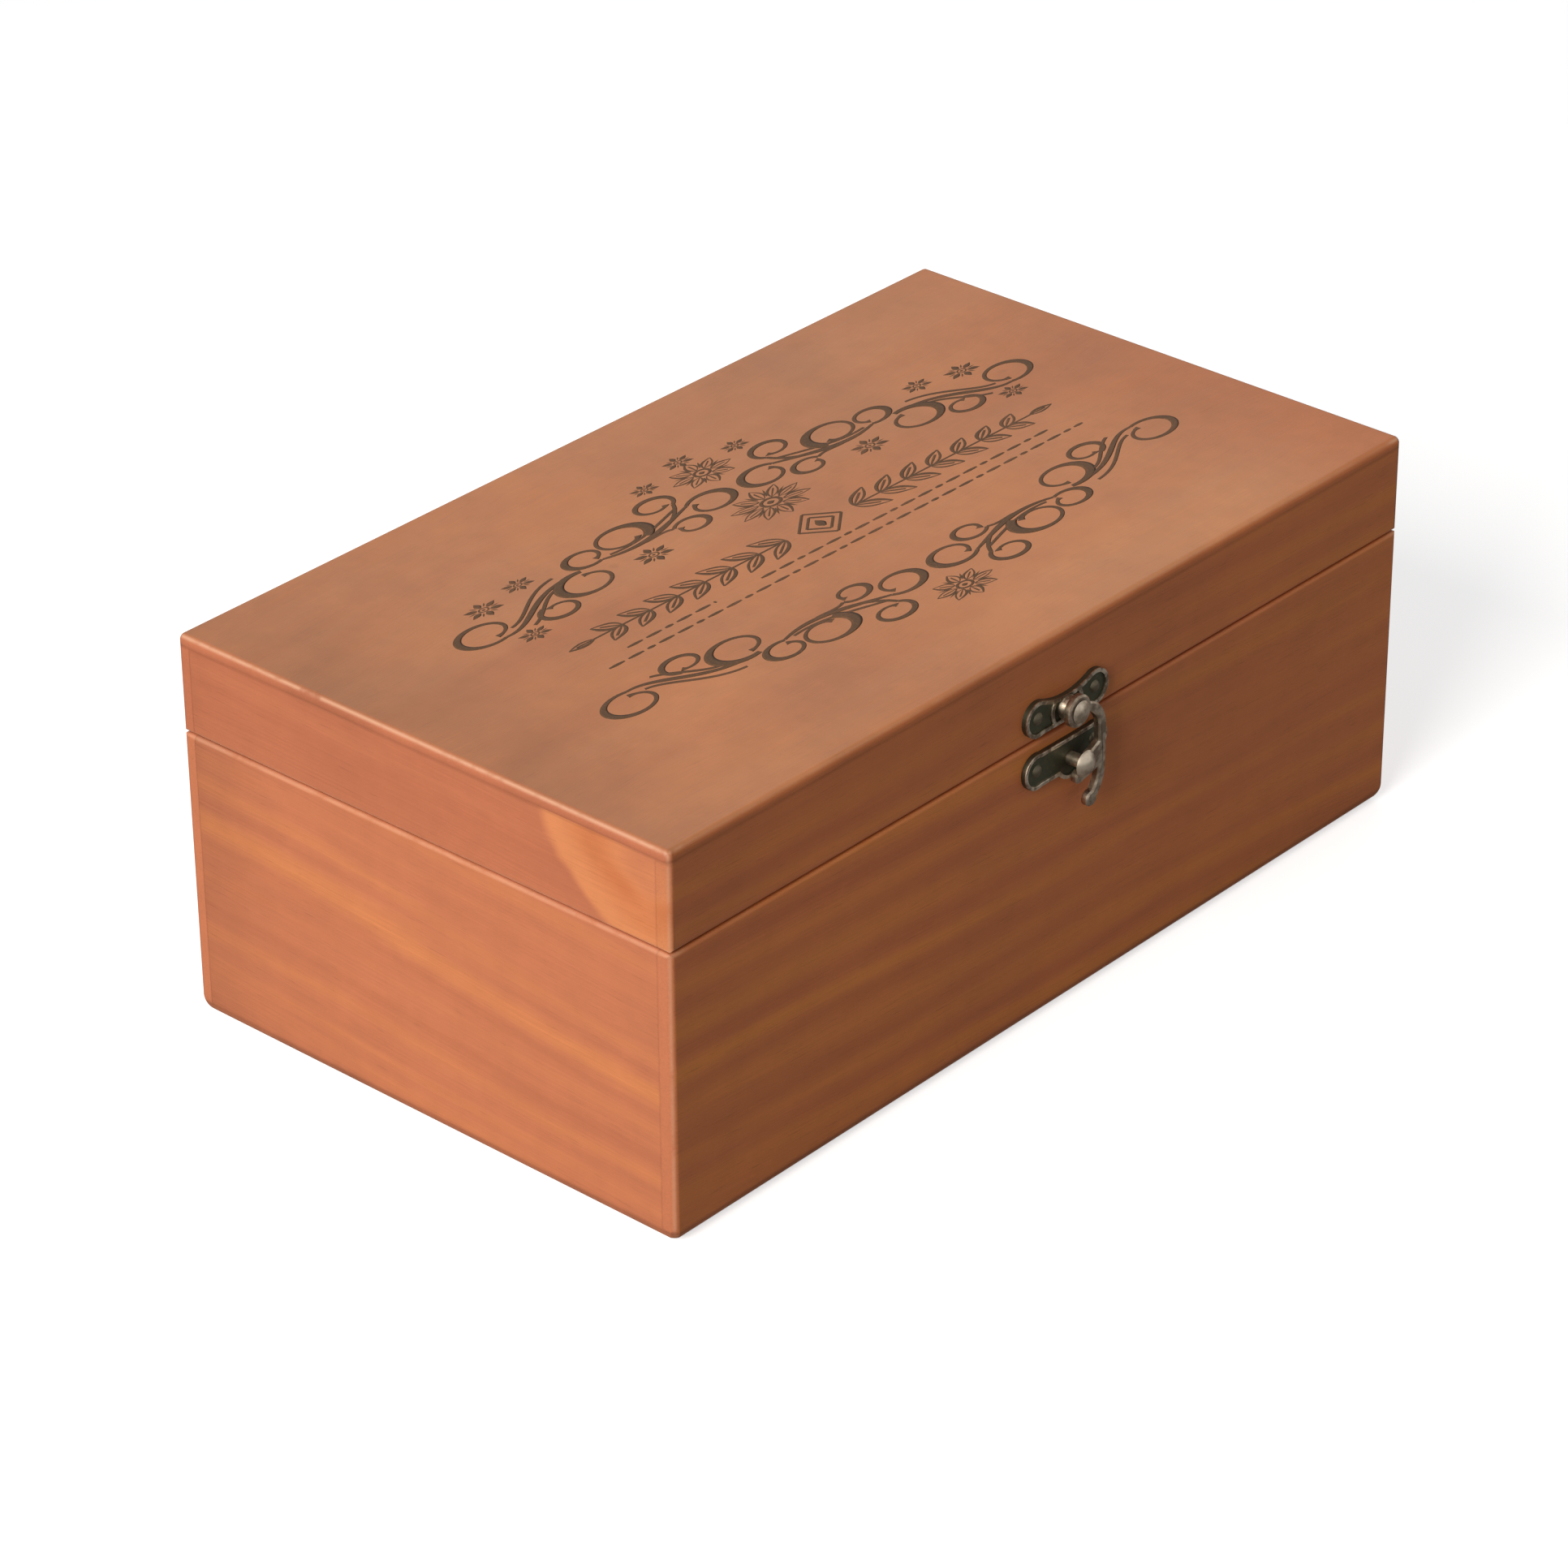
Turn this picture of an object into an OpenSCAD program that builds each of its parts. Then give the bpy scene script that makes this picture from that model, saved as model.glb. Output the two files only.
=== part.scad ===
// Keepsake box of stained wood: a rabbeted base and lid, two small hinges and a hook latch.
// Origin at the middle of the underside, X along the front, Y to the back, Z up, millimetres.

/* [Box] */
// Length along the front
body_length = 240; // [170:1:320]
// Depth from front to back
body_depth = 138; // [100:1:200]
// Height of the base up to its rim
base_height = 69; // [45:0.5:110]
// Height of the lid from its rim to its top
lid_height = 23; // [16:0.5:50]
// Gap between the two rims
seam_gap = 0.4; // [0.3:0.05:0.6]
// Thickness of the side boards
board_thickness = 8; // [7:0.5:12]
// Thickness of the rabbet lip that shows on the end faces
lip_thickness = 3.5; // [2:0.5:5]
// Thickness of the panel on the lid
top_panel_thickness = 2.5; // [2:0.5:5]
// Thickness of the panel under the base
bottom_panel_thickness = 3; // [2:0.5:5]

/* [Edges] */
// Radius of the upright corners
corner_radius = 1.6; // [0.8:0.1:2.4]
// Radius of the edges round the top
top_radius = 1.6; // [0.8:0.1:2.4]
// Radius of the edges round the underside
foot_radius = 4; // [1:0.5:6]
// Radius of the eased edges at the seam
seam_ease = 1; // [0.5:0.1:1.4]

/* [Hinges] */
// Distance of the hinges' middles from the ends of the box
hinge_inset = 45; // [25:1:60]
// Length of a hinge along its pin
hinge_length = 25; // [18:0.5:40]
// Height of a leaf from the pin
leaf_height = 10; // [9:0.5:13]
// Thickness of a leaf
leaf_thickness = 0.7; // [0.5:0.05:0.8]
// Outer radius of the knuckles
knuckle_radius = 1.5; // [1.4:0.05:1.8]
// Radius of the hinge pin
pin_radius = 0.6; // [0.4:0.05:0.7]
// Depth of the pin inside the back face
pin_inset = 0.7; // [0.6:0.05:0.8]
// Slope of the bevels that let the lid lean back
bevel_angle = 56; // [55:1:62]
// Radius of the round corners of a leaf
leaf_corner = 1.5; // [0.5:0.1:2.5]
// Distance between the two screws of a leaf
screw_spacing = 14; // [11:0.5:16]
// Distance of the screws from the pin
screw_drop = 6; // [5:0.25:6.5]
// Radius of a screw's shank
screw_radius = 0.8; // [0.6:0.05:1]
// Radius of a screw's head
screw_head_radius = 1.7; // [1.4:0.05:2]
// Height of a screw's head
screw_head_height = 0.7; // [0.5:0.05:0.9]
// Depth of a screw in the wood
screw_depth = 5; // [3:0.25:6]

/* [Latch plates] */
// Distance of the latch to the right of the middle
latch_shift = 1.6; // [-20:0.2:20]
// Radius of the round lobes at the plate ends
lobe_radius = 4.2; // [3.6:0.1:4.4]
// Distance of the lobes from the middle of the plate
lobe_reach = 9.4; // [8.6:0.1:14]
// Distance by which the lobes stand past the straight edges
lobe_bulge = 0.2; // [0.1:0.05:0.4]
// Dip of the latch plate's top edge between its lobes
saddle_dip = 2; // [1:0.1:2.5]
// Distance of the latch plate's straight edge from the lid's rim
latch_setback = 1.7; // [1.4:0.1:2.4]
// Distance of the catch plate's straight edge from the base's rim
catch_setback = 2.4; // [1.4:0.1:2.6]
// Thickness of the plates
plate_thickness = 0.9; // [0.7:0.05:1.1]
// Height of the raised border above the plate
border_height = 0.45; // [0.2:0.05:0.5]
// Width of the raised border
border_width = 0.9; // [0.6:0.05:1.2]
// Height of the pivot above the latch plate's straight edge
pivot_rise = 3.2; // [3:0.1:4]
// Radius of the ring pressed round the pivot
ring_radius = 5.2; // [4.8:0.1:6]
// Radius of the raised seat under the hook, at its top
seat_radius = 2.5; // [2:0.1:2.6]
// Radius of the raised seat under the hook, at its foot
seat_foot_radius = 3; // [2.8:0.1:3.1]
// Radius of the bulge round the peg
bulge_radius = 4.8; // [4.4:0.1:6]
// Radius of a nail's head
nail_head_radius = 1.5; // [1.2:0.05:1.8]
// Height of a nail's head
nail_head_height = 0.8; // [0.5:0.05:0.9]
// Radius of a nail's shank
nail_radius = 0.6; // [0.4:0.05:0.8]
// Depth of a nail in the wood
nail_depth = 5.5; // [3:0.25:6]

/* [Hook] */
// Distance from the pivot to the peg
hook_reach = 13; // [12.5:0.1:14.5]
// Angle of the peg to the right of straight below the pivot
peg_lean = 7; // [0:0.5:9]
// Height of the hook's back above the wood
hook_lift = 3.2; // [2.4:0.05:3.6]
// Thickness of the hook
hook_thickness = 1.6; // [1.2:0.05:1.8]
// Width of the bevel round the hook's front
hook_bevel = 0.4; // [0.2:0.05:0.5]
// Radius of the eye round the rivet
eye_radius = 3.7; // [3.2:0.1:4]
// Distance of the arm to the right of the pivot
arm_offset = 7.8; // [7.4:0.1:9]
// Width of the arm and tail
arm_width = 2.4; // [2:0.1:3]
// Radius of the bend from the eye to the arm
bend_radius = 6.4; // [5:0.1:7]
// Width of the jaw under the peg
jaw_width = 2.4; // [2:0.1:2.8]
// Radius of the round tip of the jaw
jaw_tip_radius = 1.5; // [1.5:0.05:1.6]
// Angle by which the jaw's tip passes the peg
jaw_overrun = 5; // [2:0.5:7]
// Height of the throat behind the peg
throat_height = 3; // [2:0.1:3.4]
// Drop from the peg to where the tail starts to bend
tail_drop = 3; // [2:0.1:4]
// Radius of the tail's bend
tail_radius = 9; // [7:0.1:12]
// Angle of the tail's bend
tail_angle = 50; // [35:1:55]
// Radius of the thumb pad at the tail's end
pad_radius = 1.8; // [1.6:0.1:2.4]
// Radius of the rivet's shank
rivet_radius = 1.3; // [1:0.05:1.5]
// Radius of the rivet's head
rivet_head_radius = 2.6; // [2.2:0.05:3]
// Height of the rivet's head
rivet_head_height = 1.2; // [0.8:0.05:1.5]
// Radius of the peg's stem
peg_radius = 1.5; // [1.2:0.05:1.7]
// Radius of the peg's head
knob_radius = 3; // [2.6:0.1:3.4]
// Height of the peg's head
knob_height = 1.7; // [1.2:0.05:2]

/* [Clearances] */
// Radial play of a pin in what turns on it
running_clearance = 0.05; // [0.02:0.01:0.08]
// Gap between a moving piece and the faces beside it
face_clearance = 0.3; // [0.2:0.05:0.35]
// Gap between the knuckles and the coves in the rims
cove_clearance = 0.6; // [0.55:0.05:0.8]
// Gap between a screw and its hole in the leaf
hole_clearance = 0.1; // [0.05:0.01:0.2]

/* [Hidden] */
$fn = 72;

wood_color = [0.66, 0.37, 0.22];
wood_end_color = [0.75, 0.45, 0.29];
panel_color = [0.70, 0.45, 0.32];
bronze_color = [0.27, 0.25, 0.22];
worn_bronze_color = [0.42, 0.38, 0.33];

// Overlap of cutting shapes past the faces that they cut
slack = 1;
// How far the balls in the corners reach past the faces that they round
ball_margin = 0.02;

lid_rim = base_height + seam_gap;
lid_top = lid_rim + lid_height;
front_y = -body_depth / 2;
back_y = body_depth / 2;

hinge_spacing = body_length - 2 * hinge_inset;
pin_y = back_y - pin_inset;
pin_z = base_height + seam_gap / 2;
knuckle_length = (hinge_length - 2 * face_clearance) / 3;
knuckle_pitch = knuckle_length + face_clearance;
// Distance of a leaf from the pin beside the other leaf's knuckles, so that both fold past each other
leaf_relief = knuckle_radius + leaf_thickness;
cove_radius = knuckle_radius + cove_clearance;

latch_edge = lid_rim + latch_setback;
catch_edge = base_height - catch_setback;
pivot_z = latch_edge + pivot_rise;
peg_x = hook_reach * sin(peg_lean);
peg_z = pivot_z - hook_reach * cos(peg_lean);
lobe_rise = lobe_radius - lobe_bulge;
latch_lobe_z = latch_edge + lobe_rise;
catch_lobe_z = catch_edge - lobe_rise;

hook_front = hook_lift + hook_thickness;
jaw_inner = hook_reach + peg_radius + face_clearance;
jaw_middle = jaw_inner + jaw_width / 2;
peg_angle = peg_lean - 90;
jaw_tip_angle = peg_angle - jaw_overrun;
throat_angle = peg_angle + asin((peg_radius + face_clearance) / hook_reach);
throat_inner = jaw_inner - throat_height;
throat_middle = (throat_inner + jaw_middle) / 2;
throat_width = jaw_middle - throat_inner;
knob_back = hook_front + face_clearance;

// A rectangle on the X axis with round corners: low below, high above
module soft_rect(width, height, low, high) {
    wide = max(low, high);
    translate([-width / 2 + wide, 0])
        square([width - 2 * wide, height]);
    translate([-width / 2, low])
        square([width, height - low - high]);
    translate([-width / 2 + low, 0])
        square([width - 2 * low, height / 2]);
    translate([-width / 2 + high, height / 2])
        square([width - 2 * high, height / 2]);
    for (side = [-1, 1]) {
        translate([side * (width / 2 - low), low])
            circle(r = low);
        translate([side * (width / 2 - high), height - high])
            circle(r = high);
    }
}

// The rounded outer form of the base or the lid, standing on z = 0
module rounded_block(height, low, high) {
    intersection() {
        translate([0, -body_depth / 2, 0])
            linear_extrude(height)
                soft_rect(body_length, body_depth, corner_radius, corner_radius);
        translate([0, body_depth / 2, 0])
            rotate([90, 0, 0])
                linear_extrude(body_depth)
                    soft_rect(body_length, height, low, high);
        translate([-body_length / 2, 0, 0])
            rotate([90, 0, 90])
                linear_extrude(body_length)
                    soft_rect(body_depth, height, low, high);
    }
}

// What lies outside a ball in each lower corner of a block whose lower edges have this radius
module corner_waste(edge_radius) {
    ball_radius = (edge_radius - corner_radius) * sqrt(2) + corner_radius + ball_margin;
    if (edge_radius >= corner_radius)
        for (x_side = [0, 1], y_side = [0, 1])
            mirror([x_side, 0, 0])
                mirror([0, y_side, 0])
                    translate([body_length / 2 - edge_radius, body_depth / 2 - edge_radius, 0])
                        difference() {
                            translate([0, 0, -slack])
                                cube([edge_radius + slack, edge_radius + slack, ball_radius + slack]);
                            translate([0, 0, ball_radius - ball_margin])
                                sphere(r = ball_radius);
                        }
}

module base_form() {
    difference() {
        rounded_block(base_height, foot_radius, seam_ease);
        corner_waste(foot_radius);
    }
}

module lid_form() {
    translate([0, 0, lid_rim])
        difference() {
            rounded_block(lid_height, seam_ease, top_radius);
            translate([0, 0, lid_height])
                mirror([0, 0, 1])
                    corner_waste(top_radius);
        }
}

// A long board on the front side, rabbeted at both ends for the short boards
module long_board_stock(bottom, top) {
    difference() {
        translate([-body_length / 2, front_y, bottom])
            cube([body_length, board_thickness, top - bottom]);
        for (side = [0, 1])
            mirror([side, 0, 0])
                translate([body_length / 2 - board_thickness, front_y + lip_thickness, bottom - slack])
                    cube([board_thickness + slack, board_thickness, top - bottom + 2 * slack]);
    }
}

// A short board on the left side, seated in the rabbets
module short_board_stock(bottom, top) {
    translate([-body_length / 2, front_y + lip_thickness, bottom])
        cube([board_thickness, body_depth - 2 * lip_thickness, top - bottom]);
}

// Places its children on the front face: X stays, Y is up, Z points out of the face
module on_front(z) {
    translate([latch_shift, front_y, z])
        rotate([90, 0, 0])
            children();
}

module at_lobes() {
    for (side = [-1, 1])
        translate([side * lobe_reach, 0, 0])
            children();
}

module at_hinges() {
    for (side = [-1, 1])
        translate([side * hinge_spacing / 2, 0, 0])
            children();
}

// Places its children at the hinge screws, heads to the back; up is 1 on the lid, -1 on the base
module at_hinge_screws(up) {
    at_hinges()
        for (side = [-1, 1])
            translate([side * screw_spacing / 2, back_y, pin_z + up * screw_drop])
                rotate([-90, 0, 0])
                    children();
}

// A cap of a sphere standing on z = 0
module dome(radius, height) {
    ball = (radius * radius + height * height) / (2 * height);
    intersection() {
        translate([0, 0, height - ball])
            sphere(r = ball, $fn = 120);
        cylinder(h = height, r = radius);
    }
}

module nail() {
    translate([0, 0, -nail_depth])
        cylinder(h = nail_depth + plate_thickness + nail_head_height / 2, r = nail_radius);
    translate([0, 0, plate_thickness])
        dome(nail_head_radius, nail_head_height);
}

module nail_hole() {
    translate([0, 0, -nail_depth])
        cylinder(h = nail_depth + plate_thickness + slack, r = nail_radius);
}

module screw() {
    translate([0, 0, -screw_depth])
        cylinder(h = screw_depth + leaf_thickness + screw_head_height / 2, r = screw_radius);
    translate([0, 0, leaf_thickness])
        dome(screw_head_radius, screw_head_height);
}

module screw_hole() {
    translate([0, 0, -screw_depth])
        cylinder(h = screw_depth + slack, r = screw_radius);
}

// What the hinges take out of a back board; up is 1 for the lid's rim, -1 for the base's
module hinge_cuts(up) {
    run = 2 * pin_inset;
    fall = run * tan(bevel_angle);
    rim_z = up * seam_gap / 2;
    translate([-body_length / 2 - slack, pin_y, pin_z])
        rotate([90, 0, 90])
            linear_extrude(body_length + 2 * slack)
                polygon([[0, rim_z], [run, rim_z + up * fall], [run, -up * slack], [0, -up * slack]]);
    cove_length = hinge_length + 2 * cove_clearance;
    at_hinges()
        translate([-cove_length / 2, pin_y, pin_z])
            rotate([0, 90, 0])
                cylinder(h = cove_length, r = cove_radius);
    at_hinge_screws(up)
        screw_hole();
}

module base_front_board() {
    color(wood_color)
        difference() {
            intersection() {
                base_form();
                long_board_stock(bottom_panel_thickness, base_height);
            }
            on_front(catch_lobe_z)
                at_lobes()
                    nail_hole();
        }
}

module base_back_board() {
    color(wood_color)
        difference() {
            intersection() {
                base_form();
                mirror([0, 1, 0])
                    long_board_stock(bottom_panel_thickness, base_height);
            }
            hinge_cuts(-1);
        }
}

module base_left_board() {
    color(wood_end_color)
        intersection() {
            base_form();
            short_board_stock(bottom_panel_thickness, base_height);
        }
}

module base_right_board() {
    mirror([1, 0, 0])
        base_left_board();
}

module base_bottom_panel() {
    color(panel_color)
        intersection() {
            base_form();
            translate([-body_length / 2, front_y, 0])
                cube([body_length, body_depth, bottom_panel_thickness]);
        }
}

module lid_front_board() {
    color(wood_color)
        difference() {
            intersection() {
                lid_form();
                long_board_stock(lid_rim, lid_top - top_panel_thickness);
            }
            on_front(latch_lobe_z)
                at_lobes()
                    nail_hole();
        }
}

module lid_back_board() {
    color(wood_color)
        difference() {
            intersection() {
                lid_form();
                mirror([0, 1, 0])
                    long_board_stock(lid_rim, lid_top - top_panel_thickness);
            }
            hinge_cuts(1);
        }
}

module lid_left_board() {
    color(wood_end_color)
        intersection() {
            lid_form();
            short_board_stock(lid_rim, lid_top - top_panel_thickness);
        }
}

module lid_right_board() {
    mirror([1, 0, 0])
        lid_left_board();
}

module lid_top_panel() {
    color(panel_color)
        intersection() {
            lid_form();
            translate([-body_length / 2, front_y, lid_top - top_panel_thickness])
                cube([body_length, body_depth, top_panel_thickness]);
        }
}

// The latch plate's outline about its pivot, drawn in by inset all round; a wide arc joins its lobes
module latch_outline(inset) {
    lobe_y = latch_lobe_z - pivot_z;
    dip_y = lobe_radius - saddle_dip;
    saddle = (lobe_reach * lobe_reach + dip_y * dip_y - lobe_radius * lobe_radius) / (2 * saddle_dip);
    meet = lobe_radius / (saddle + lobe_radius);
    meet_x = lobe_reach * (1 - meet);
    meet_y = lobe_y + (dip_y + saddle) * meet;
    edge_y = latch_edge - pivot_z + inset;
    translate([0, lobe_y])
        at_lobes()
            circle(r = lobe_radius - inset);
    translate([-lobe_reach, edge_y])
        square([2 * lobe_reach, lobe_y - edge_y]);
    difference() {
        translate([-meet_x, lobe_y - slack])
            square([2 * meet_x, meet_y - lobe_y + slack]);
        translate([0, lobe_y + dip_y + saddle])
            circle(r = saddle + inset, $fn = 240);
    }
}

// The catch plate's outline at the height of its peg, drawn in by inset all round; a bulge carries the peg
module catch_outline(inset) {
    lobe_y = catch_lobe_z - peg_z;
    half_height = lobe_rise - inset;
    translate([0, lobe_y])
        at_lobes()
            circle(r = lobe_radius - inset);
    translate([-lobe_reach, lobe_y - half_height])
        square([2 * lobe_reach, 2 * half_height]);
    translate([peg_x, 0])
        circle(r = bulge_radius - inset);
}

module latch_plate() {
    seat_top = hook_lift - face_clearance / 2;
    color(bronze_color)
        on_front(pivot_z)
            difference() {
                union() {
                    linear_extrude(plate_thickness)
                        latch_outline(0);
                    linear_extrude(plate_thickness + border_height)
                        difference() {
                            latch_outline(0);
                            latch_outline(border_width);
                        }
                    linear_extrude(plate_thickness + border_height)
                        intersection() {
                            latch_outline(border_width / 2);
                            difference() {
                                circle(r = ring_radius);
                                circle(r = ring_radius - border_width);
                            }
                        }
                    cylinder(h = seat_top, r1 = seat_foot_radius, r2 = seat_radius);
                }
                translate([0, latch_lobe_z - pivot_z, 0])
                    at_lobes()
                        nail_hole();
                translate([0, 0, -slack])
                    cylinder(h = seat_top + 2 * slack, r = rivet_radius);
            }
}

module latch_plate_nails() {
    color(worn_bronze_color)
        on_front(latch_lobe_z)
            at_lobes()
                nail();
}

module hook_rivet() {
    head_back = hook_front + face_clearance / 2;
    color(worn_bronze_color)
        on_front(pivot_z) {
            cylinder(h = head_back + rivet_head_height / 2, r = rivet_radius);
            translate([0, 0, head_back])
                dome(rivet_head_radius, rivet_head_height);
        }
}

module catch_plate() {
    color(bronze_color)
        on_front(peg_z)
            difference() {
                union() {
                    linear_extrude(plate_thickness)
                        catch_outline(0);
                    linear_extrude(plate_thickness + border_height)
                        difference() {
                            catch_outline(0);
                            catch_outline(border_width);
                        }
                }
                translate([0, catch_lobe_z - peg_z, 0])
                    at_lobes()
                        nail_hole();
                translate([peg_x, 0, -slack])
                    cylinder(h = plate_thickness + 2 * slack, r = peg_radius);
            }
}

module catch_plate_nails() {
    color(worn_bronze_color)
        on_front(catch_lobe_z)
            at_lobes()
                nail();
}

module catch_peg() {
    color(worn_bronze_color)
        on_front(peg_z)
            translate([peg_x, 0, 0]) {
                cylinder(h = knob_back + knob_height / 2, r = peg_radius);
                translate([0, 0, knob_back])
                    dome(knob_radius, knob_height);
            }
}

// Cross-section of the hook's bars: flat behind, bevelled in front
module bar_profile(width) {
    half = width / 2;
    polygon([
        [-half, 0],
        [half, 0],
        [half, hook_thickness - hook_bevel],
        [half - hook_bevel, hook_thickness],
        [-half + hook_bevel, hook_thickness],
        [-half, hook_thickness - hook_bevel]
    ]);
}

// A bar bent about the origin from one angle to another
module bent_bar(radius, width, from, to) {
    rotate([0, 0, from])
        rotate_extrude(angle = to - from, $fn = 144)
            translate([radius, 0])
                bar_profile(width);
}

// A round end or eye of the hook
module round_pad(radius) {
    rotate_extrude()
        polygon([
            [0, 0],
            [radius, 0],
            [radius, hook_thickness - hook_bevel],
            [radius - hook_bevel, hook_thickness],
            [0, hook_thickness]
        ]);
}

module latch_hook() {
    arm_top = -bend_radius;
    arm_bottom = -hook_reach - tail_drop;
    color(worn_bronze_color)
        on_front(pivot_z)
            translate([0, 0, hook_lift])
                difference() {
                    union() {
                        round_pad(eye_radius);
                        translate([arm_offset - bend_radius, arm_top, 0])
                            bent_bar(bend_radius, arm_width, 0, 90);
                        translate([arm_offset, arm_top, 0])
                            rotate([90, 0, 0])
                                linear_extrude(arm_top - arm_bottom)
                                    bar_profile(arm_width);
                        intersection() {
                            union() {
                                bent_bar(jaw_middle, jaw_width, jaw_tip_angle, 0);
                                bent_bar(throat_middle, throat_width, throat_angle, 0);
                            }
                            translate([-jaw_middle, -2 * jaw_middle, -slack])
                                cube([jaw_middle + arm_offset, 2 * jaw_middle, hook_thickness + 2 * slack]);
                        }
                        rotate([0, 0, jaw_tip_angle])
                            translate([jaw_middle, 0, 0])
                                round_pad(jaw_tip_radius);
                        translate([arm_offset - tail_radius, arm_bottom, 0])
                            mirror([0, 1, 0]) {
                                bent_bar(tail_radius, arm_width, 0, tail_angle);
                                rotate([0, 0, tail_angle])
                                    translate([tail_radius, 0, 0])
                                        round_pad(pad_radius);
                            }
                    }
                    translate([0, 0, -slack])
                        cylinder(h = hook_thickness + 2 * slack, r = rivet_radius + running_clearance);
                }
}

// A leaf's outline below the pin, with round lower corners
module leaf_outline() {
    translate([0, -leaf_height])
        soft_rect(hinge_length, leaf_height, leaf_corner, leaf_corner / 2);
}

// A hinge leaf hanging from a pin along X; own and other are the places of the two leaves' knuckles
module hinge_leaf(own, other, bore) {
    notch_length = knuckle_length + 2 * face_clearance;
    difference() {
        union() {
            difference() {
                translate([0, pin_inset + leaf_thickness, 0])
                    rotate([90, 0, 0])
                        linear_extrude(leaf_thickness)
                            leaf_outline();
                for (place = other)
                    translate([place * knuckle_pitch, 0, 0])
                        cube([notch_length, 4 * knuckle_radius, 2 * leaf_relief], center = true);
            }
            for (place = own)
                translate([place * knuckle_pitch - knuckle_length / 2, 0, 0])
                    rotate([0, 90, 0])
                        cylinder(h = knuckle_length, r = knuckle_radius);
        }
        translate([-hinge_length, 0, 0])
            rotate([0, 90, 0])
                cylinder(h = 2 * hinge_length, r = bore);
        for (side = [-1, 1])
            translate([side * screw_spacing / 2, pin_inset - slack, -screw_drop])
                rotate([-90, 0, 0])
                    cylinder(h = leaf_thickness + 2 * slack, r = screw_radius + hole_clearance);
    }
}

module base_leaf() {
    color(bronze_color)
        translate([0, pin_y, pin_z])
            hinge_leaf([-1, 1], [0], pin_radius);
}

module lid_leaf() {
    color(bronze_color)
        translate([0, pin_y, pin_z])
            mirror([0, 0, 1])
                hinge_leaf([0], [-1, 1], pin_radius + running_clearance);
}

module hinge_pin() {
    color(worn_bronze_color)
        translate([-hinge_length / 2, pin_y, pin_z])
            rotate([0, 90, 0])
                cylinder(h = hinge_length, r = pin_radius);
}

module left_hinge_base_leaf() {
    translate([-hinge_spacing / 2, 0, 0])
        base_leaf();
}

module right_hinge_base_leaf() {
    translate([hinge_spacing / 2, 0, 0])
        base_leaf();
}

module left_hinge_lid_leaf() {
    translate([-hinge_spacing / 2, 0, 0])
        lid_leaf();
}

module right_hinge_lid_leaf() {
    translate([hinge_spacing / 2, 0, 0])
        lid_leaf();
}

module left_hinge_pin() {
    translate([-hinge_spacing / 2, 0, 0])
        hinge_pin();
}

module right_hinge_pin() {
    translate([hinge_spacing / 2, 0, 0])
        hinge_pin();
}

module base_hinge_screws() {
    color(worn_bronze_color)
        at_hinge_screws(-1)
            screw();
}

module lid_hinge_screws() {
    color(worn_bronze_color)
        at_hinge_screws(1)
            screw();
}

base_front_board();
base_back_board();
base_left_board();
base_right_board();
base_bottom_panel();
catch_plate();
catch_peg();
catch_plate_nails();
left_hinge_base_leaf();
right_hinge_base_leaf();
left_hinge_pin();
right_hinge_pin();
base_hinge_screws();
lid_front_board();
lid_back_board();
lid_left_board();
lid_right_board();
lid_top_panel();
latch_plate();
latch_plate_nails();
hook_rivet();
left_hinge_lid_leaf();
right_hinge_lid_leaf();
lid_hinge_screws();
latch_hook();
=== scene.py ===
import math

import bpy
from mathutils import Matrix, Vector


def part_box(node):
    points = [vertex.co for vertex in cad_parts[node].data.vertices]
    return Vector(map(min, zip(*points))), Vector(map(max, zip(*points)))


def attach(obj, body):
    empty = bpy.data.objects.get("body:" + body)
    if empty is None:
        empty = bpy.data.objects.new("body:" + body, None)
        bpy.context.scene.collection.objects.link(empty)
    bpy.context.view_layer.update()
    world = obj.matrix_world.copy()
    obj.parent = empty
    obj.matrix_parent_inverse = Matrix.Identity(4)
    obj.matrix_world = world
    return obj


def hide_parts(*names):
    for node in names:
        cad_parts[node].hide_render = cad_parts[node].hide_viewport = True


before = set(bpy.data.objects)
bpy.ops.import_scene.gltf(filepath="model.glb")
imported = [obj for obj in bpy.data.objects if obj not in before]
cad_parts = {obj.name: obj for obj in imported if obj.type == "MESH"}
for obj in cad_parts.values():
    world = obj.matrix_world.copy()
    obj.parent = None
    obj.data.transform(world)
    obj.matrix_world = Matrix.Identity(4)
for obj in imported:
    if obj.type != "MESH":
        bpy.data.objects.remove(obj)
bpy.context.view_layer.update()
mm = 0.001
print("frame loaded with", len(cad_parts), "nodes")

# where the box's own planes lie, read from its boards
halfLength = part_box("lid_top_panel")[1].x
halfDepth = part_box("lid_top_panel")[1].y
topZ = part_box("lid_top_panel")[1].z
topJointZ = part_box("lid_top_panel")[0].z
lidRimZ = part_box("lid_left_board")[0].z
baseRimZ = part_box("base_left_board")[1].z
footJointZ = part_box("base_bottom_panel")[1].z
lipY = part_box("base_left_board")[1].y


def paint(red, green, blue):  # a colour as a picture editor shows it, made linear
    def linear(c):
        c = c / 255
        return c / 12.92 if c <= 0.04045 else ((c + 0.055) / 1.055) ** 2.4
    return (linear(red), linear(green), linear(blue), 1)


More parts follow.
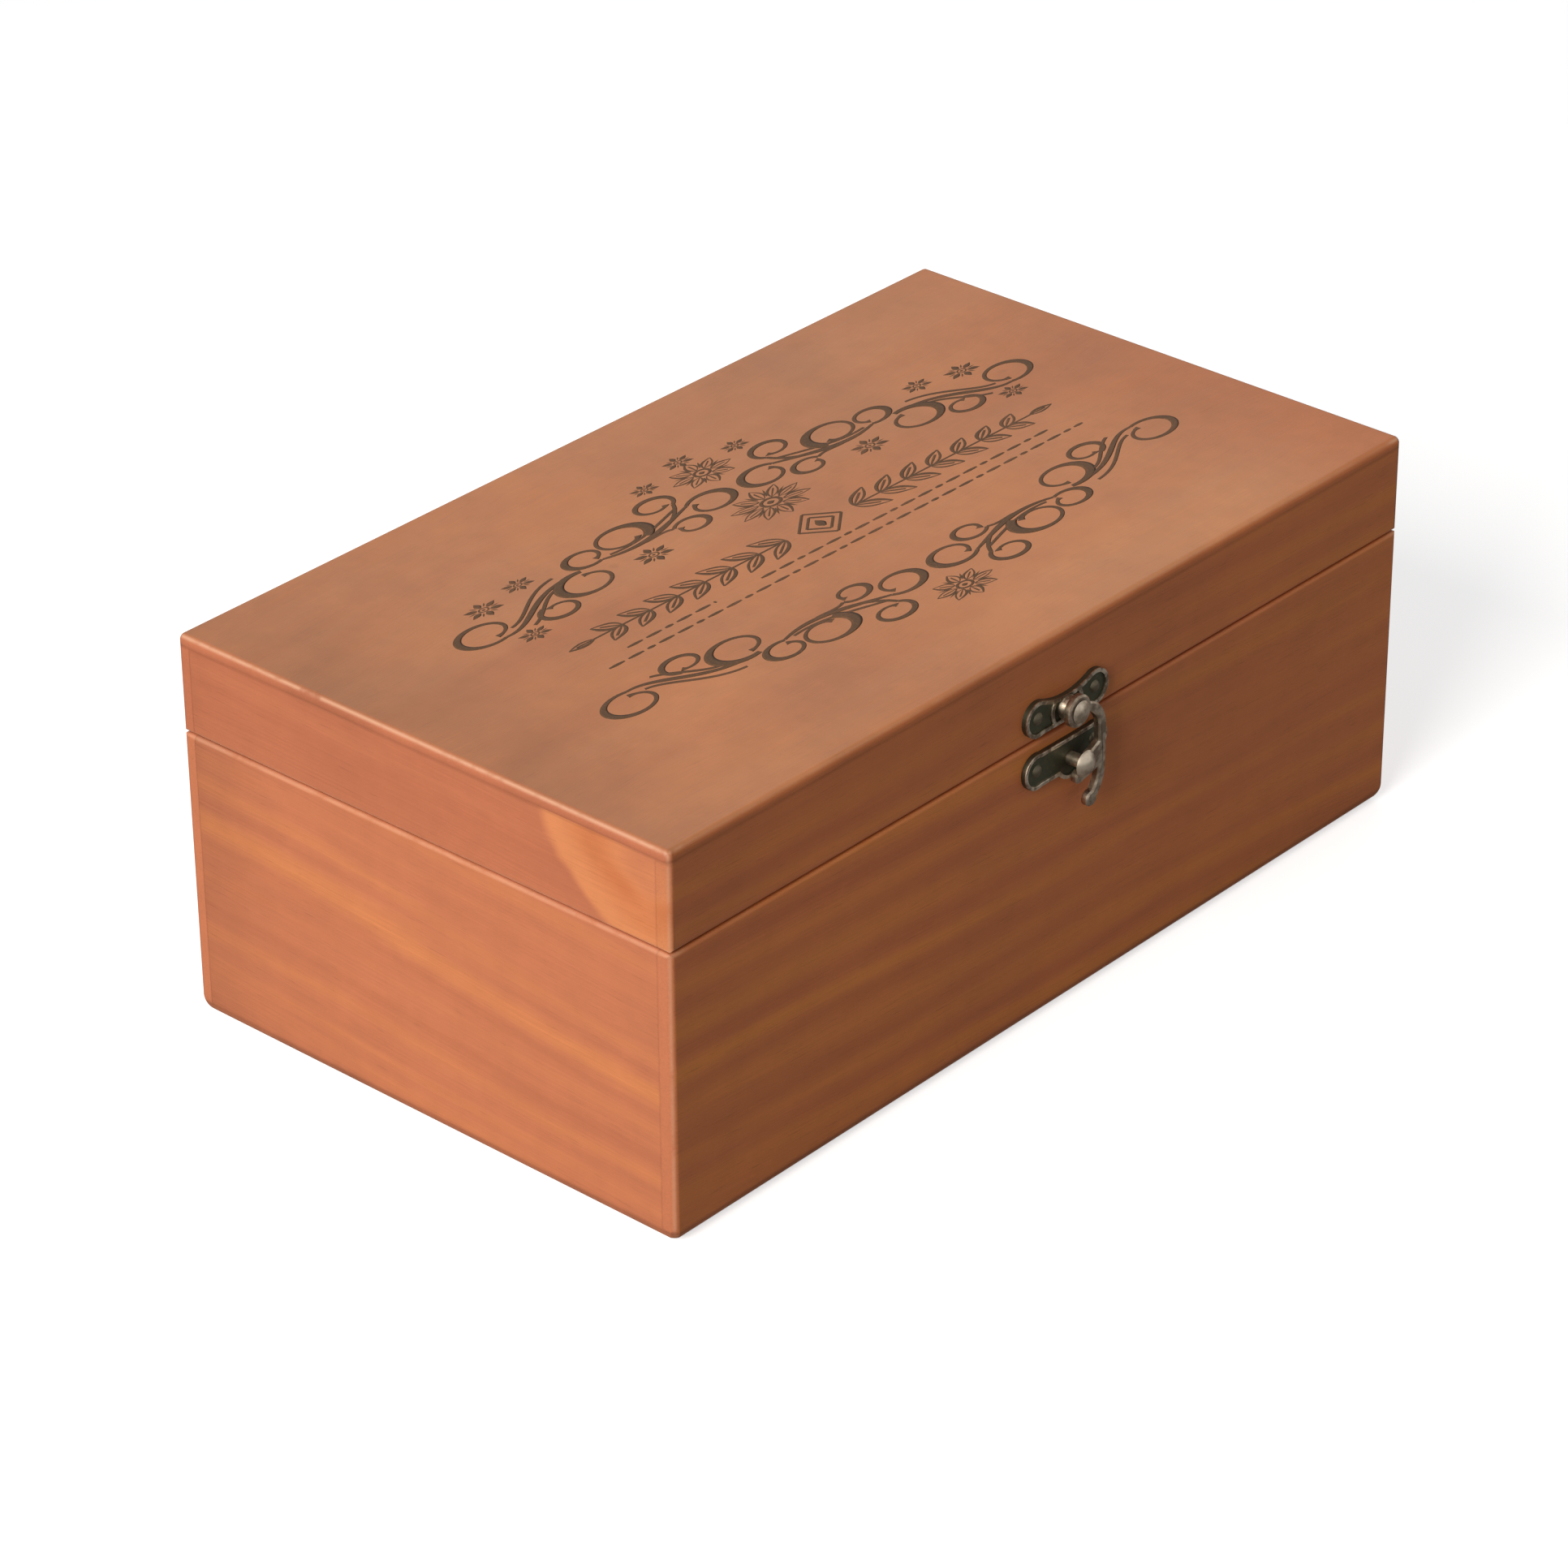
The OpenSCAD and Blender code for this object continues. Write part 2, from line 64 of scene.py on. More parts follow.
class Wire:  # a socket that takes part in sums
    def __init__(self, look, socket):
        self.look = look
        self.socket = socket

    def out(self, name):
        return Wire(self.look, self.socket.node.outputs[name])

    def maths(self, operation, *values):
        return self.look.node("ShaderNodeMath", {"operation": operation}, dict(enumerate(values)))

    def __add__(self, other):
        return self.maths("ADD", self, other)

    def __radd__(self, other):
        return self.maths("ADD", other, self)

    def __sub__(self, other):
        return self.maths("SUBTRACT", self, other)

    def __rsub__(self, other):
        return self.maths("SUBTRACT", other, self)

    def __mul__(self, other):
        return self.maths("MULTIPLY", self, other)

    def __rmul__(self, other):
        return self.maths("MULTIPLY", other, self)

    def __truediv__(self, other):
        return self.maths("DIVIDE", self, other)

    def __rtruediv__(self, other):
        return self.maths("DIVIDE", other, self)

    def __pow__(self, other):
        return self.maths("POWER", self, other)

    def __abs__(self):
        return self.maths("ABSOLUTE", self)

    def wave(self):
        return self.maths("SINE", self)

    def least(self, other):
        return self.maths("MINIMUM", self, other)

    def most(self, other):
        return self.maths("MAXIMUM", self, other)

    def rise(self, low, high):  # 0 below low, 1 above high, soft between
        return self.look.node(
            "ShaderNodeMapRange",
            {"interpolation_type": "SMOOTHSTEP"},
            {"Value": self, "From Min": low, "From Max": high},
        )

    def spread(self, low, high):  # stretches low..high to 0..1
        return self.look.node("ShaderNodeMapRange", {}, {"Value": self, "From Min": low, "From Max": high})


class Look:  # a material, or the world, in the making
    def __init__(self, owner):
        self.owner = owner
        owner.use_nodes = True
        self.tree = owner.node_tree
        self.tree.nodes.clear()

    def node(self, kind, settings=None, sockets=None):
        made = self.tree.nodes.new(kind)
        for key, value in (settings or {}).items():
            if key == "stops":
                ramp = made.color_ramp.elements
                while len(ramp) < len(value):
                    ramp.new(1)
                for stop, (position, colour) in zip(ramp, value):
                    stop.position = position
                    stop.color = colour
            else:
                setattr(made, key, value)
        for key, value in (sockets or {}).items():
            if isinstance(key, int):
                socket = made.inputs[key]
            else:
                socket = next(s for s in made.inputs if s.name == key and s.enabled)
            if isinstance(value, Wire):
                self.tree.links.new(value.socket, socket)
            else:
                socket.default_value = value
        return Wire(self, next((s for s in made.outputs if s.enabled), None)) if made.outputs else made

    def place(self):
        spot = self.node("ShaderNodeTexCoord").out("Object")
        parts = self.node("ShaderNodeSeparateXYZ", {}, {0: spot})
        return parts.out("X"), parts.out("Y"), parts.out("Z")

    def vector(self, x, y, z):
        return self.node("ShaderNodeCombineXYZ", {}, {0: x, 1: y, 2: z})

    def noise(self, vector, scale=1.0, detail=2.0, roughness=0.5):
        sockets = {"Vector": vector, "Scale": scale, "Detail": detail, "Roughness": roughness}
        return self.node("ShaderNodeTexNoise", {}, sockets)

    def drawnOut(self, places, fineness, detail, roughness=0.5):  # noise stretched along the grain
        vector = self.vector(*(place * fine for place, fine in zip(places, fineness)))
        return self.noise(vector, 1, detail, roughness)

    def mix(self, factor, under, over):
        settings = {"data_type": "RGBA", "clamp_factor": True}
        return self.node("ShaderNodeMix", settings, {"Factor": factor, "A": under, "B": over})

    def shade(self, colour, gain):  # a colour made lighter or darker by a value
        grey = self.vector(gain, gain, gain)
        return self.node("ShaderNodeVectorMath", {"operation": "MULTIPLY"}, {0: colour, 1: grey})

    def bump(self, height, strength, distance):
        return self.node("ShaderNodeBump", {}, {"Height": height, "Strength": strength, "Distance": distance})

    def surface(self, sockets):
        shader = self.node("ShaderNodeBsdfPrincipled", {}, sockets)
        self.node("ShaderNodeOutputMaterial", {}, {"Surface": shader})
        return self.owner


# wood

woodTones = {
    "red": paint(189, 106, 64),
    "mid": paint(206, 120, 70),
    "light": paint(222, 136, 66),
    "olive": paint(211, 132, 63),
    "endDeep": paint(188, 109, 76),
    "endRed": paint(196, 116, 81),
    "end": paint(204, 123, 85),
    "endPale": paint(220, 136, 85),
    # worn is the pale of rubbed edges, and also a painted highlight along the rounded edges
    "worn": paint(238, 182, 146),
    # the dark of joint lines, which also serves as painted shade under the rounded top edge
    "jointDarkAndShade": paint(70, 38, 24),
    "panelRed": paint(195, 118, 76),
    "panel": paint(213, 137, 88),
    "panelPale": paint(221, 151, 103),
    "panelWarm": paint(206, 125, 76),
    "flamePale": paint(225, 141, 91),
    "flameHeart": paint(208, 121, 74),
}
figure = {  # how fine each pattern runs along, across and into a board
    "wander": (7, 16, 16),
    "sway": (11, 90, 90),
    "fade": (9, 60, 60),
    "growth": (5, 1.1, 60),  # across: within one spacing of the growth lines
    "fibre": (40, 2100, 2100),
    "pores": (160, 3600, 3600),
    "hue": (5, 70, 60),
    "cloud": (8, 17, 17),
    "blotch": 24,  # these run alike in every direction
    "speck": 120,
    "mottle": 150,
    "rub": 170,
}
stain = {  # where stain, wear with its painted highlight, darker patches and joint lines with their painted shade lie: distances from the edge that each goes with
    "endBand": (0.3 * mm, 1.7 * mm),
    "leftDarker": 40 * mm,
    "backDarker": 34 * mm,
    "footDarker": (1 * mm, 7 * mm),
    "wearAndHighlight": (0.3 * mm, 1.1 * mm),
    "longEdge": (2 * mm, 6 * mm),
    "longEdgeSpared": 0.8,  # the long edges get little wear and little painted highlight
    "glueAndShadeLine": 0.85 * mm,
    "lipGlue": 0.35 * mm,  # makes the lip's glue line fainter than the panels'
    "bump": 0.16,
    "bumpHeight": 0.25 * mm,
}


def edgeGap(x, y, z):  # distance to the nearest outside edge of the box
    gapX = halfLength - abs(x)
    gapY = halfDepth - abs(y)
    level = (topZ - z).least(z).least(abs(z - baseRimZ)).least(abs(z - lidRimZ))
    return gapX.most(gapY).least(gapX.least(gapY).most(level))


def grainRings(look, x, y, z, plan):  # bent places along, across and into the board
    along, across, deep = {"x": (x, z, y), "y": (y, z, x), "flat": (x, y, z)}[plan["grain"]]
    along = along + plan["shift"]
    wander = look.drawnOut((along, across, deep), figure["wander"], 2) - 0.5
    across = across - along * plan["slope"] + wander * plan["wander"] + plan["shift"]
    return along, across, deep


def growthLines(look, rings, plan):  # soft early and late wood, about a spacing apart
    sway = look.drawnOut(rings, figure["sway"], 2)
    wave = (rings[1] * (2 * math.pi / plan["spacing"]) + sway * plan["sway"]).wave()
    fade = look.drawnOut(rings, figure["fade"], 1).rise(0.36, 0.66)
    along, across, deep = figure["growth"]
    cloud = look.drawnOut(rings, (along, across / plan["spacing"], deep), 3, 0.55).spread(0.3, 0.7)
    streak = 0.5 + wave * 0.5 * (0.4 + fade * 0.6)
    return cloud * (1 - plan["streaks"]) + streak * plan["streaks"]


bandFall = {"from": -60 * mm, "to": 50 * mm, "height": 7.3 * mm, "sway": 3 * mm, "fray": 2.4 * mm}


def barkBands(look, y, z, fibre, bands):  # soft bands that fall towards the front of an end board
    fall = y.rise(bandFall["from"], bandFall["to"]) * bandFall["height"]
    sway = (look.noise(look.vector(y * 24, z * 40, 0.0), 1, 2) - 0.5) * bandFall["sway"]
    fray = (look.noise(look.vector(y * 70, z * 420, 0.0), 1, 3, 0.6) - 0.5) * bandFall["fray"]
    total = 0.0
    for height, tilt, width, strength in bands:
        gap = z - fall - y * tilt + sway + fray - height * mm
        fade = look.noise(look.vector(y * 17, float(height), 0.0), 1, 1).rise(0.25, 0.6)
        band = (1 - abs(gap).rise(0.0, width * mm)) * (0.4 + fade * 0.6) * strength
        total = band.most(total)
    return total * (0.75 + fibre * 0.35)


flame = {
    "frontGap": 5 * mm, "rimGap": 19 * mm, "reach": 29.2 * mm, "drop": 24.0 * mm, "squareness": 1.36,
    "fray": 0.04, "sway": 0.2,
    "edge": (0.92, 1.05),  # this and the next are shares of its size
    "heartFrom": (0.25, 0.5), "heartTo": (0.52, 0.86), "inside": (0.15, 0.45),
}


def flamePatch(look, y, z, fibre):  # the pale leaf of young wood at the lid's front corner
    reach = (y + halfDepth - flame["frontGap"]) / flame["reach"]
    drop = (z - lidRimZ - flame["rimGap"]) / flame["drop"]
    bow = flame["squareness"]
    ring = (abs(reach) ** bow + abs(drop) ** bow) ** (1 / bow)
    sway = look.noise(look.vector(y * 60, z * 90, 0.0), 1, 2) - 0.5
    ring = ring + (fibre - 0.5) * flame["fray"] + sway * flame["sway"]
    streak = look.noise(look.vector(y * 45, z * 90, 3.0), 1, 2).rise(0.3, 0.65)
    heart = (0.55 + streak * 0.45) * ring.rise(*flame["heartFrom"]) * (1 - ring.rise(*flame["heartTo"]))
    inside = (1 - ring.rise(*flame["inside"])) * (0.5 + streak * 0.4)
    young = look.mix(heart, woodTones["flamePale"], woodTones["flameHeart"])
    young = look.mix(inside, young, woodTones["end"])
    return 1 - ring.rise(*flame["edge"]), young


panelStain = {
    "palePatchAlong": (-40 * mm, 40 * mm), "palePatchAcross": (25 * mm, 60 * mm), "palePatch": 0.35,
    "warmAlong": (70 * mm, 118 * mm), "warmAcross": (-20 * mm, 50 * mm), "warmLoss": 0.7,
    "longEdge": (0.1 * mm, 0.7 * mm),
}


def stainPanel(look, colour, x, y):  # paler towards the right, warmer at the right end
    palePatch = x.rise(*panelStain["palePatchAlong"]) * abs(y).rise(*panelStain["palePatchAcross"])
    colour = look.mix(palePatch * panelStain["palePatch"], colour, woodTones["panelPale"])
    warm = x.rise(*panelStain["warmAlong"]) * (1 - y.rise(*panelStain["warmAcross"]) * panelStain["warmLoss"])
    colour = look.mix(warm, colour, woodTones["panelWarm"])
    edge = 1 - (halfDepth - abs(y)).rise(*panelStain["longEdge"])
    return look.mix(edge, colour, woodTones["mid"])


def woodLook(name, plan):
    look = Look(bpy.data.materials.new(name))
    x, y, z = look.place()
    spot = look.vector(x, y, z)
    rings = grainRings(look, x, y, z, plan)
    along, ring, deep = rings
    lines = growthLines(look, rings, plan)
    fibre = look.drawnOut(rings, figure["fibre"], 2, 0.6).spread(0.25, 0.75)
    pores = look.drawnOut(rings, figure["pores"], 1).rise(0.64, 0.76)
    hue = look.drawnOut(rings, figure["hue"], 2).rise(0.36, 0.64)
    cloud = look.drawnOut((along + ring, ring - along, deep), figure["cloud"], 2).spread(0.3, 0.7)
    blotch = look.noise(spot, figure["blotch"], 3, 0.55).spread(0.3, 0.7)
    speck = look.noise(spot, figure["speck"], 1).rise(0.76, 0.81)
    mottle = look.noise(spot, figure["mottle"], 3, 0.6).spread(0.3, 0.7)
    rub = look.noise(spot, figure["rub"], 3, 0.6)
    endGap, leftGap = halfLength - abs(x), x + halfLength

    low, middle, high = (woodTones[tone] for tone in plan["tones"])
    stops = [(0.15, low), (0.5, middle), (0.9, high)]
    share = 0.5 + (lines - 0.5) * plan["contrast"]
    colour = look.node("ShaderNodeValToRGB", {"stops": stops}, {"Fac": share})
    colour = look.mix(hue * plan["olive"], colour, woodTones["olive"])
    if "bands" in plan:
        colour = look.mix(barkBands(look, y, z, fibre, plan["shades"]), colour, woodTones["endDeep"])
        colour = look.mix(barkBands(look, y, z, fibre, plan["bands"]), colour, woodTones["endPale"])
    if plan["grain"] == "flat":
        colour = stainPanel(look, colour, x, y)
    if plan["grain"] != "y":  # the ends of long boards take the stain as the end boards do
        colour = look.mix(1 - endGap.rise(*stain["endBand"]), colour, woodTones[plan["endTone"]])
    if plan.get("flame"):
        patch, young = flamePatch(look, y, z, fibre)
        colour = look.mix(patch * (1 - leftGap.rise(*stain["endBand"])), colour, young)

    gain = plan["level"] + x * (plan["drift"] / halfLength)
    for pattern, key in ((fibre, "fibre"), (blotch, "blotch"), (cloud, "cloud"), (mottle, "mottle")):
        gain = gain + (pattern - 0.5) * plan[key]
    gain = gain - pores * plan["pores"] - speck * plan["specks"]
    # darker towards the left end of the top
    leftDarker = (1 - leftGap.rise(0.0, stain["leftDarker"])) * endGap.rise(*stain["endBand"])
    # darker towards the back end
    backDarker = 1 - (halfDepth - y).rise(0.0, stain["backDarker"])
    # darker towards the bottom, in patches
    footDarker = (1 - z.rise(*stain["footDarker"])) * rub.rise(0.25, 0.6)
    gain = gain - leftDarker * plan["leftDarker"] - backDarker * plan["backDarker"] - footDarker * plan["footDarker"]

    # edge wear in the worn tone, which also paints the highlight on the rounded edges; the long edges get
    # little of it
    worn = (1 - edgeGap(x, y, z).rise(*stain["wearAndHighlight"])) * rub.rise(0.2, 0.55) * plan["wearAndHighlight"]
    worn = worn * (1 - endGap.rise(*stain["longEdge"]) * stain["longEdgeSpared"])
    colour = look.mix(worn, look.shade(colour, gain), woodTones["worn"])
    # dark joint lines, drawn wide enough to also paint the soft shade under the rounded top edge
    glueAndShade = abs(z - topJointZ).least(abs(z - footJointZ))
    if plan["grain"] != "flat":
        glueAndShade = glueAndShade.least(abs(abs(y) - lipY) + stain["lipGlue"])
    colour = look.mix((1 - glueAndShade.rise(0.0, stain["glueAndShadeLine"])) * plan["glueAndShade"], colour, woodTones["jointDarkAndShade"])
    height = fibre * 0.5 + lines * 0.3 - pores * 0.5 + rub * 0.25
    return look.surface({
        "Base Color": colour,
        "Roughness": plan["rough"] + (fibre - 0.5) * 0.1 + (blotch - 0.5) * 0.06 - worn * 0.05,
        "Specular IOR Level": plan["shine"],
        "Normal": look.bump(height, stain["bump"], stain["bumpHeight"]),
    })


# each band: height at the middle of the board in mm, extra tilt, half width in mm, strength
leftBands = [
    (38.0, 0.051, 4.6, 1.0),
    (47.7, 0.067, 3.0, 0.42),
    (15.0, -0.006, 3.4, 0.5),
    (27.5, 0.02, 2.4, 0.2),
    (5.5, -0.01, 2.6, 0.2),
]
leftShades = [(33.2, 0.051, 2.6, 0.35), (20.4, 0.0, 2.2, 0.4), (43.6, 0.06, 2.0, 0.2)]
endTones = ("endRed", "end", "endPale")
boardPlans = {
    "base_front_board": {
        "shift": 0.31, "slope": -0.045, "spacing": 10 * mm, "olive": 0.16, "level": 1.015, "drift": 0.005,
    },
    "lid_front_board": {
        "shift": 0.87, "slope": -0.02, "spacing": 10 * mm, "olive": 0.1, "contrast": 0.6,
        "drift": 0.05, "endTone": "endRed", "flame": True,
    },
    "base_back_board": {"shift": 1.43, "slope": 0.03, "olive": 0.16},
    "lid_back_board": {"shift": 2.11, "slope": 0.02, "olive": 0.1, "contrast": 0.8, "endTone": "endRed"},
    "base_left_board": {
        "shift": 0.52, "slope": 0.055, "grain": "y", "streaks": 0.4, "contrast": 0.38, "tones": endTones,
        "bands": leftBands, "shades": leftShades, "backDarker": 0.18,
    },
    "lid_left_board": {
        "shift": 1.19, "slope": 0.03, "grain": "y", "streaks": 0.4, "contrast": 0.45,
        "tones": ("endDeep", "endRed", "end"), "flame": True, "backDarker": 0.1,
    },
    "base_right_board": {
        "shift": 2.73, "slope": -0.04, "grain": "y", "spacing": 13 * mm, "contrast": 0.8, "tones": endTones,
    },
    "lid_right_board": {
        "shift": 3.37, "slope": 0.03, "grain": "y", "spacing": 15 * mm, "contrast": 0.7, "tones": endTones,
    },
    "lid_top_panel": {
        "shift": 4.01, "slope": 0.02, "grain": "flat", "leftDarker": 0.12, "drift": 0.03, "endTone": "endRed",
    },
    "base_bottom_panel": {"shift": 4.73, "slope": 0.02, "grain": "flat"},
}
boardCommon = {
    "grain": "x", "wander": 6 * mm, "spacing": 7.0 * mm, "sway": 4.5, "streaks": 0.58, "contrast": 0.66,
    "tones": ("red", "mid", "light"), "endTone": "end", "olive": 0.0, "level": 0.98, "drift": 0.0,
    "fibre": 0.11, "blotch": 0.08, "cloud": 0.04, "mottle": 0.06, "pores": 0.13, "specks": 0.0,
    "leftDarker": 0.0, "backDarker": 0.0, "footDarker": 0.1, "glueAndShade": 0.2, "wearAndHighlight": 0.36,
    "rough": 0.47, "shine": 0.3,
}
panelCommon = {
    "wander": 22 * mm, "spacing": 26 * mm, "streaks": 0.3, "contrast": 0.45,
    "tones": ("panelRed", "panel", "panelPale"),
    "fibre": 0.08, "blotch": 0.16, "cloud": 0.15, "mottle": 0.08, "pores": 0.06, "specks": 0.1,
    "wearAndHighlight": 0.85, "rough": 0.5,
}

for node, plan in boardPlans.items():
    full = {**boardCommon, **(panelCommon if "panel" in node else {}), **plan}
    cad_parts[node].material_slots[0].material = woodLook("wood." + node, full)
print("wood stained on", len(boardPlans), "boards")


# metal

bronzeTones = [  # from the hollows to the parts that are rubbed bright
    (0.0, paint(84, 87, 70)),
    (0.3, paint(100, 93, 76)),
    (0.65, paint(140, 122, 104)),
    (1.0, paint(216, 200, 178)),
]


def bronzeLook(name, plan):
    look = Look(bpy.data.materials.new(name))
    x, y, z = look.place()
    spot = look.vector(x, y, z)
    stand = abs(y) - halfDepth  # how far it stands out of the wood
    grain = look.noise(spot, 900, 3, 0.6)
    patch = look.noise(spot, 380, 2, 0.55)
    raised = stand.rise(plan["low"], plan["high"])
    worn = raised * (0.55 + patch.rise(0.35, 0.65) * 0.45) + grain.rise(0.48, 0.72) * plan["mottle"]
    share = worn * plan["polish"] + plan["lift"]
    return look.surface({
        "Base Color": look.node("ShaderNodeValToRGB", {"stops": bronzeTones}, {"Fac": share}),
        "Metallic": 1.0,
        "Roughness": 0.5 - worn * 0.16 + (grain - 0.5) * 0.2,
        "Normal": look.bump(grain * 0.6 + patch * 0.8, 0.25, 0.12 * mm),
    })


bronzePlans = {
    "antique": {"low": 0.88 * mm, "high": 1.2 * mm, "polish": 0.95, "lift": 0.02, "mottle": 0.32},
    "rubbed": {"low": 0.9 * mm, "high": 3.6 * mm, "polish": 0.55, "lift": 0.3, "mottle": 0.18},
    "peg": {"low": 0.0 * mm, "high": 1.5 * mm, "polish": 0.6, "lift": 0.4, "mottle": 0.18},
    "screw": {"low": 0.95 * mm, "high": 1.35 * mm, "polish": 0.6, "lift": 0.1, "mottle": 0.15},
    "hinge": {"low": 0.2 * mm, "high": 1.0 * mm, "polish": 0.55, "lift": 0.12, "mottle": 0.2},
}
bronze = {name: bronzeLook("bronze." + name, plan) for name, plan in bronzePlans.items()}
bronzeNodes = {
    "antique": ["latch_plate", "catch_plate"],
    "rubbed": ["latch_hook", "latch_plate_nails", "catch_plate_nails"],
    "peg": ["hook_rivet", "catch_peg"],
    "hinge": [
        "left_hinge_base_leaf", "right_hinge_base_leaf", "left_hinge_lid_leaf", "right_hinge_lid_leaf",
        "left_hinge_pin", "right_hinge_pin", "base_hinge_screws", "lid_hinge_screws",
    ],
}
for finish, nodes in bronzeNodes.items():
    for node in nodes:
        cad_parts[node].material_slots[0].material = bronze[finish]
print("bronze on", sum(len(nodes) for nodes in bronzeNodes.values()), "fittings")


# eased edges, so that glue lines and metal rims catch the light

easing = {
    "board": (0.06 * mm, 2), "bronze": (0.22 * mm, 3),  # width and segments
    "sharp": math.radians(32), "flat": math.radians(0.6), "weld": 0.0005 * mm,
}


def easeEdges(piece, width, segments):
    weld = piece.modifiers.new("weld", "WELD")
    weld.merge_threshold = easing["weld"]
    flat = piece.modifiers.new("flat faces", "DECIMATE")
    flat.decimate_type = "DISSOLVE"
    flat.angle_limit = easing["flat"]
    soft = piece.modifiers.new("eased", "BEVEL")
    soft.width = width
    soft.segments = segments
    soft.limit_method = "ANGLE"
    soft.angle_limit = easing["sharp"]
    soft.use_clamp_overlap = True
    normals = piece.modifiers.new("normals", "WEIGHTED_NORMAL")
    normals.keep_sharp = True


for node in boardPlans:
    easeEdges(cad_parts[node], *easing["board"])
for node in bronzeNodes["antique"] + ["latch_hook"]:
    easeEdges(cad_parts[node], *easing["bronze"])
print("edges eased")


# hinge screws with slotted heads, in place of the plain ones

screwPlan = {
    "head": 1.7 * mm, "dome": 0.7 * mm, "shank": 0.8 * mm, "leaf": 0.7 * mm, "length": 5 * mm,
    "segments": 36, "rings": 40, "spacing": 14 * mm, "drop": 6 * mm,
    "slotWidth": 0.5 * mm, "slotDepth": 0.4 * mm,
    "turns": (24, 71, -38, 8, -66, 35, 52, -12),  # how each slot stands, in degrees
}


def makeScrew(x, z, turn):  # modelled upright at the middle, then laid into the back
    head, dome = screwPlan["head"], screwPlan["dome"]
    ball = (head ** 2 + dome ** 2) / (2 * dome)
    bpy.ops.object.select_all(action="DESELECT")
    bpy.ops.mesh.primitive_uv_sphere_add(
        segments=screwPlan["segments"], ring_count=screwPlan["rings"],
        radius=ball, location=(0, 0, dome - ball),
    )
    screw = bpy.context.object
    bpy.ops.object.transform_apply(location=True, rotation=False, scale=False)
    bpy.ops.object.mode_set(mode="EDIT")
    bpy.ops.mesh.select_all(action="SELECT")
    bpy.ops.mesh.bisect(plane_co=(0, 0, 0), plane_no=(0, 0, 1), use_fill=True, clear_inner=True)
    bpy.ops.mesh.select_all(action="SELECT")
    bpy.ops.mesh.normals_make_consistent(inside=False)
    bpy.ops.mesh.select_all(action="DESELECT")
    bpy.ops.object.mode_set(mode="OBJECT")
    for face in screw.data.polygons:
        face.select = face.normal.z < -0.99  # the flat underside of the head
    bpy.ops.object.mode_set(mode="EDIT")
    bpy.ops.mesh.select_mode(type="FACE")
    bpy.ops.mesh.inset(thickness=head - screwPlan["shank"])
    down = (0, 0, -screwPlan["leaf"] - screwPlan["length"])
    bpy.ops.mesh.extrude_region_move(TRANSFORM_OT_translate={"value": down})
    bpy.ops.object.mode_set(mode="OBJECT")
    bpy.ops.mesh.primitive_cube_add(size=1, location=(0, 0, dome), rotation=(0, 0, math.radians(turn)))
    cutter = bpy.context.object
    cutter.scale = (4 * head, screwPlan["slotWidth"], 2 * screwPlan["slotDepth"])
    cut = screw.modifiers.new("slot", "BOOLEAN")
    cut.operation = "DIFFERENCE"
    cut.object = cutter
    bpy.ops.object.select_all(action="DESELECT")
    bpy.context.view_layer.objects.active = screw
    screw.select_set(True)
    bpy.ops.object.modifier_apply(modifier="slot")
    bpy.data.objects.remove(cutter)
    screw.rotation_euler.x = -math.pi / 2
    screw.location = (x, halfDepth + screwPlan["leaf"], z)
    bpy.ops.object.transform_apply(location=True, rotation=True, scale=True)
    bpy.ops.object.shade_smooth_by_angle(angle=easing["sharp"])
    return screw


def hingeScrews(body, up):
    screws = []
    turns = screwPlan["turns"][::up]
    for side in ("left", "right"):
        middle = sum(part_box(side + "_hinge_pin"), Vector()) / 2
        for step in (-0.5, 0.5):
            x = middle.x + step * screwPlan["spacing"]
            screws.append(makeScrew(x, middle.z + up * screwPlan["drop"], turns[len(screws)]))
    bpy.ops.object.select_all(action="DESELECT")
    for screw in screws:
        screw.select_set(True)
    bpy.context.view_layer.objects.active = screws[0]
    bpy.ops.object.join()
    piece = bpy.context.object
    piece.name = "slotted_screws_" + body
    piece.data.materials.clear()
    piece.data.materials.append(bronze["screw"])
    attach(piece, body)
    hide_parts(body + "_hinge_screws")


hingeScrews("base", -1)
hingeScrews("lid", 1)
print("slotted screws set in the hinges")


# printed ornament on the lid, drawn for the back left quarter in millimetres from its middle

ornament = {
    "middle": Vector((4.45 * mm, -2.5 * mm, topZ)),
    "stretch": 1.7,  # everything is drawn round, then drawn out along the lid
    "lean": 0.033,  # the print was laid on a little askew
    "turn": 0.012,
    "ink": 0.035 * mm,  # height of the thickest ink
    "line": 0.7,
    "hair": 0.27,
    "petal": 0.17,
    "steps": 44,
    "rightShare": 0.985,  # the right half is drawn a little shorter than the left
}
curlPlan = {
    "wind": 1.05,  # how much further than its sweep a curl winds inwards
    "tuckFrom": 0.45, "tuck": 0.4, "tuckBow": 1.5,  # where and how far it draws in
    "swell": 0.24,  # how much of it is thick
    "ballFrom": 0.93, "ball": 0.6,  # the ball at its end
}
# each curl: middle along and across, radius, start angle, sweep, greatest width, where along it is widest
curls = [
    (-84.05, 21.3, 4.2, -70, -345, 1.3, 0.35),
    (-65.6, 17.7, 3.0, 118, 345, 1.2, 0.35),
    (-53.0, 21.9, 4.4, 72, 345, 1.8, 0.25),
    (-46.15, 29.4, 3.15, -62, -340, 1.3, 0.35),
    (-33.75, 30.2, 4.25, -52, 350, 2.0, 0.12),
    (-8.7, 27.65, 3.85, 142, -345, 1.5, 0.35),
    (-18.6, 35.2, 3.1, -48, 345, 1.2, 0.35),
    (-19.1, 23.3, 2.8, 152, -340, 1.1, 0.4),
]
